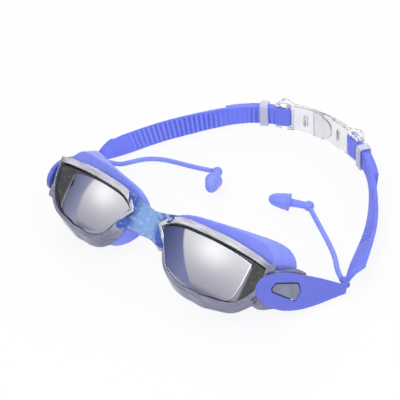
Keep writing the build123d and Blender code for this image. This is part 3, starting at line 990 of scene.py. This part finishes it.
# The coat's colours are painted reflection: silver on one side of a curved line and a
# painted blue reflection on the other.  The line starts at a share of the width and leans
# and bends below a level; way and soft say which side is silver and how soft the line is.
# The spot is a painted highlight, and the blue runs from deep to pale over the band.
PAINTED_REFLECTIONS = {
    "left": {
        "start": 0.27,
        "lean": 0.22,
        "bend": 0.27,
        "level": 0.75,
        "way": 1,
        "soft": 0.02,
        "spot": (0.59, 0.80),
        "band": (0.08, 0.40),
        "deep": (0.06, 0.075, 0.19),
        "pale": (0.19, 0.21, 0.39),
    },
    "right": {
        "start": 0.71,
        "lean": 0.17,
        "bend": -0.42,
        "level": 0.75,
        "way": -1,
        "soft": 0.05,
        "spot": (0.45, 0.80),
        "band": (0.70, 1.0),
        "deep": (0.27, 0.29, 0.42),
        "pale": (0.12, 0.12, 0.20),
    },
}
# Size of the painted highlight round the spot.
HIGHLIGHT_SIZE = (0.20, 0.26)


class GOGGLES_OT_lenses(bpy.types.Operator):
    """Mirror-coated front windows with dark side panels."""

    bl_idname = "goggles.lenses"
    bl_label = "Lenses"

    def execute(self, context):
        smoke = self.smoke()
        border = self.border()
        for side in SIDES:
            self.lens(side, self.mirror(side), smoke, border)
        return {"FINISHED"}

    def smoke(self):
        """Dark polycarbonate, mottled olive on the side panel as painted speckled reflection,
        and grey on the cheek edge.
        """
        dark = colours().smoke
        material, tree, shader = principled(
            "lens_smoke", dark, Roughness=0.16, Coat_Weight=0.5, Coat_Roughness=0.05
        )
        # Painted speckled reflection on the side panel.
        painted_speckle = cloud(tree, object_place(tree), 420.0, 5.0, 0.7)
        olive = colour_ramp(tree, painted_speckle, (0.50, dark), (0.72, (0.078, 0.078, 0.063)))
        panel = two_tones(tree, marked(tree, "panel"), dark, olive)
        edge = two_tones(tree, marked(tree, "clear"), panel, (0.30, 0.30, 0.37))
        tree.links.new(edge, shader.inputs["Base Color"])
        return material

    def border(self):
        """Dull, dark border of the window: painted shade of the groove round it."""
        colour = colours().border
        material, tree, shader = principled(
            "lens_ridge", colour, Roughness=0.6, Specular_IOR_Level=0.2
        )
        tone(tree, shader, colour, 0.15, 240.0)
        return material

    def mirror(self, side):
        """Silver coat of painted reflection, brightest near the brow and blue past a curved
        line.
        """
        look = PAINTED_REFLECTIONS[side]
        material, tree, shader = principled(
            f"mirror_lens_{side}", colours().mirror, Roughness=0.1, Metallic=1.0
        )
        place = add_node(tree, "ShaderNodeUVMap", uv_map="face")
        parts = add_node(tree, "ShaderNodeSeparateXYZ")
        tree.links.new(place.outputs["UV"], parts.inputs["Vector"])
        across, up = parts.outputs["X"], parts.outputs["Y"]
        work = partial(combine, tree)
        down = work("SUBTRACT", look["level"], up)
        bend = work("MULTIPLY", work("POWER", down, 2.0), look["bend"])
        line = work("ADD", work("MULTIPLY", down, look["lean"]), bend)
        line = work("ADD", line, look["start"])
        past = work("MULTIPLY", work("SUBTRACT", across, line), look["way"] / look["soft"])
        silver = work("ADD", past, 0.5, clamp=True)
        # Painted highlight round the spot.
        (spot_across, spot_up), (width, height) = look["spot"], HIGHLIGHT_SIZE
        aside = work("DIVIDE", work("SUBTRACT", across, spot_across), width)
        above = work("DIVIDE", work("SUBTRACT", up, spot_up), height)
        ring = work("ADD", work("POWER", aside, 2.0), work("POWER", above, 2.0))
        glow = work("POWER", 2.718, work("MULTIPLY", ring, -1.0))
        # Painted shade: the coat darkens towards the bottom.
        painted_shade_fall = colour_ramp(
            tree,
            up,
            (0.06, (0.17, 0.17, 0.22)),
            (0.16, (0.36, 0.35, 0.42)),
            (0.85, (0.60, 0.60, 0.66)),
        )
        # Painted blue reflection across the band.
        start, end = look["band"]
        band = colour_ramp(tree, across, (start, look["deep"]), (end, look["pale"]))
        silver_and_highlight = two_tones(tree, glow, painted_shade_fall, colours().mirror)
        coat = two_tones(tree, silver, band, silver_and_highlight)
        tree.links.new(coat, shader.inputs["Base Color"])
        return material

    def lens(self, side, coat, smoke, border):
        """The dark lens, reseated in its rim, with its mirrored window."""
        grain = sizes().plastic_grain
        body = rounded(f"{side}_dark_lens", f"{side}_lens", grain, 1, keep=1.0)
        seat = lens_frame(side, *LENS_SHOWN)
        moved = seat @ lens_frame(side, *LENS_MADE).inverted()
        write_points(body, turned(read_points(body), moved))
        x, y, _ = draw_down(body, side)
        panel = ease(x, FOLD - 0.0016, FOLD + 0.0006)
        mark(body, "panel", panel)
        mark(body, "clear", ease(-y, -0.0022, -0.0004) * (1 - panel))
        assign(body, smoke)
        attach(body, "front")
        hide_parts(f"{side}_lens")
        piece = link(f"{side}_mirror_window", self.window(side, seat))
        assign(piece, coat, border)
        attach(piece, "front")

    def window(self, side, seat):
        """A bevelled border round a bowed face, which has its own map for the coat."""
        edge = window_line()
        middle = edge.mean(axis=0)
        inward = middle - edge
        inward = inward / np.hypot(*inward.T)[:, None]
        rings = [(edge + inward * inset, level) for inset, level in BORDER_RINGS]
        lip = rings[-1][0]
        rings += [(lip + (middle - lip) * share, WINDOW_RAISE) for share in FACE_RINGS]
        work = bmesh.new()
        layer = work.loops.layers.uv.new("face")
        loops = []
        for ring, level in rings:
            across = (ring[:, 0] - WINDOW_MIDDLE) / WINDOW_HALF
            heights = level + WINDOW_BOW * (1 - across**2)
            loops.append([work.verts.new((*spot, z)) for spot, z in zip(ring, heights)])
        centre = work.verts.new((*middle, WINDOW_RAISE + WINDOW_BOW))
        count = len(edge)
        for index, (ring, following) in enumerate(zip(loops, loops[1:])):
            for step in range(count):
                ahead = (step + 1) % count
                corners = (ring[step], ring[ahead], following[ahead], following[step])
                face = work.faces.new(corners)
                face.material_index = 1 if index < len(BORDER_RINGS) - 1 else 0
        for step in range(count):
            work.faces.new((loops[-1][step], loops[-1][(step + 1) % count], centre))
        for face in work.faces:
            face.smooth = True
            for loop in face.loops:
                x, y, _ = loop.vert.co
                loop[layer].uv = (x / FOLD, (y + WINDOW_FOOT) / WINDOW_HEIGHT)
        work.transform(seat)
        work.normal_update()
        front = seat.to_3x3() @ Vector((0, 0, 1))
        if sum(face.normal.dot(front) for face in work.faces) < 0:
            bmesh.ops.reverse_faces(work, faces=work.faces)
        mesh = bpy.data.meshes.new(f"{side}_mirror_window")
        work.to_mesh(mesh)
        work.free()
        return mesh


def window_line():
    """Outline of the mirrored window: its brow line runs into a point at the nose.

    The curve passes through the knots, with a corner at both ends of the fold.
    """
    knots = np.array(WINDOW_BROW + WINDOW_CHEEK)
    knots[:, 0] *= FOLD
    count = len(knots)
    turn = len(WINDOW_BROW)
    t = np.linspace(0, 1, 12, endpoint=False)[:, None]
    spans = []
    for index in range(count):
        before, start, end, after = (knots[(index + step) % count] for step in (-1, 0, 1, 2))
        if index in (turn - 2, turn - 1, count - 1):
            after = 2 * end - start
        if index in (0, turn - 1, turn):
            before = 2 * start - end
        spans.append(curve_span(before, start, end, after, t))
    return np.vstack(spans)


# ---- panel and registration ---------------------------------------------------
class GOGGLES_PT_panel(bpy.types.Panel):
    """Buttons that build the goggles piece by piece."""

    bl_idname = "GOGGLES_PT_panel"
    bl_label = "Goggles"
    bl_space_type = "VIEW_3D"
    bl_region_type = "UI"
    bl_category = "Goggles"

    def draw(self, context):
        for operator in OPERATORS:
            self.layout.operator(operator.bl_idname)
        for group in (sizes(), colours()):
            column = self.layout.column(align=True)
            for key in group.__annotations__:
                column.prop(group, key)


OPERATORS = (
    GOGGLES_OT_stage,
    GOGGLES_OT_tethers,
    GOGGLES_OT_gaskets,
    GOGGLES_OT_straps,
    GOGGLES_OT_bridge,
    GOGGLES_OT_rims,
    GOGGLES_OT_lenses,
    GOGGLES_OT_pegs,
    GOGGLES_OT_back_clip,
)
CLASSES = (GogglesSizes, GogglesColours, *OPERATORS, GOGGLES_PT_panel)


def register():
    for kind in CLASSES:
        bpy.utils.register_class(kind)
    bpy.types.Scene.goggles_sizes = bpy.props.PointerProperty(type=GogglesSizes)
    bpy.types.Scene.goggles_colours = bpy.props.PointerProperty(type=GogglesColours)


def unregister():
    del bpy.types.Scene.goggles_colours
    del bpy.types.Scene.goggles_sizes
    for kind in reversed(CLASSES):
        bpy.utils.unregister_class(kind)


def main():
    register()
    bpy.ops.goggles.stage()
    bpy.ops.goggles.tethers()
    bpy.ops.goggles.gaskets()
    bpy.ops.goggles.straps()
    bpy.ops.goggles.bridge()
    bpy.ops.goggles.rims()
    bpy.ops.goggles.lenses()
    bpy.ops.goggles.pegs()
    bpy.ops.goggles.back_clip()


if __name__ == "__main__":
    main()
